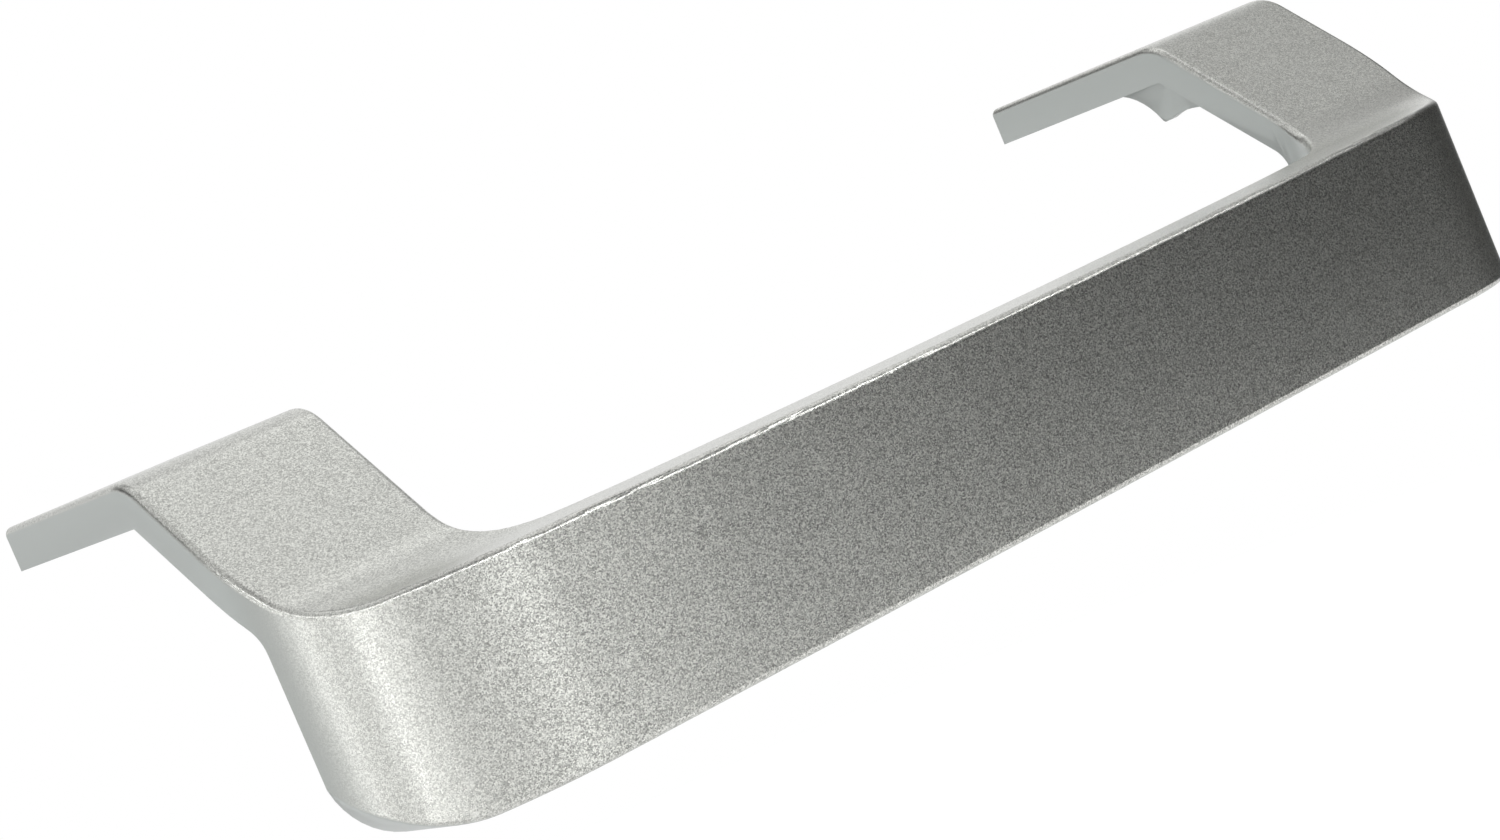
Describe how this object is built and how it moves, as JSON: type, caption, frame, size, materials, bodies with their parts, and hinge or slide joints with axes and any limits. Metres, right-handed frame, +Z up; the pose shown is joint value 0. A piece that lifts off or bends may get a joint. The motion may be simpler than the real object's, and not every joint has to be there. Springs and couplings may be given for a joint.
{
  "type": "refrigerator door handle",
  "caption": "Side-mounted refrigerator door handle: a bowed grip with large rounded ends, on concave webs that rise to flat screw flanges.",
  "frame": {"origin": "centre of the four screw holes, on the plane of the flanges' open rims", "axes": "+X along the handle, +Y from the grip back to the flanges' free edges, +Z up through the flanges"},
  "size_m": [0.312, 0.1342, 0.0767],
  "materials": {
    "silver_plastic": "silver paint with a fine metallic sparkle"
  },
  "bodies": {
    "root": {"door_handle": "silver_plastic"}
  },
  "joints": []
}
